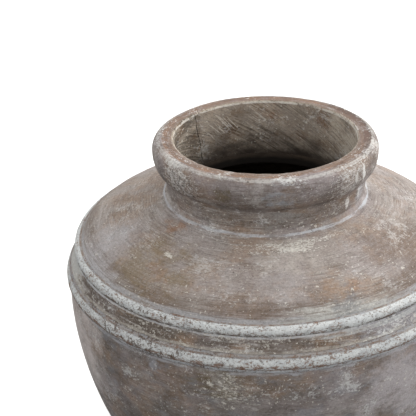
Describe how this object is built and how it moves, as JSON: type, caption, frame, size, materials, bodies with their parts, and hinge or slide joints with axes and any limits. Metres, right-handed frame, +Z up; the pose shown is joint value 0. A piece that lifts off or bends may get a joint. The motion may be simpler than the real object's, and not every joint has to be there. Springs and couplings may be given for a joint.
{
  "type": "water pot",
  "caption": "Large round-bellied clay water pot with a rolled rim, a short open neck, a sloping shoulder and raised ridges around a belt at the belly.",
  "frame": {"origin": "centre of the flat underside of the base, on the ground", "axes": "+Z up along the pot's turning axis; -Y is the front that the picture shows"},
  "size_m": [0.4204, 0.4204, 0.42],
  "materials": {
    "base_clay": "bare fired clay, worn and dusty",
    "inner_clay": "bare fired clay, scraped",
    "wall_clay": "dark umber terracotta under a rubbed-back lime wash",
    "shoulder_clay": "terracotta under a brushed taupe and lime wash",
    "ridge_limewash": "thick chipped white lime wash over terracotta",
    "belt_clay": "streaked umber terracotta with lime specks",
    "neck_clay": "wiped grey and umber terracotta",
    "rim_clay": "rubbed terracotta with lime wash on its edges"
  },
  "bodies": {
    "root": {"base_slab": "base_clay", "base_joint_coil": "inner_clay", "lower_wall": "wall_clay", "belly_joint_coil": "inner_clay", "shoulder_wall": "shoulder_clay", "lower_ridge_coil": "ridge_limewash", "belly_belt": "belt_clay", "upper_ridge_coil": "ridge_limewash", "neck_fillet_coil": "neck_clay", "neck_collar": "neck_clay", "rim_roll": "rim_clay"}
  },
  "joints": []
}
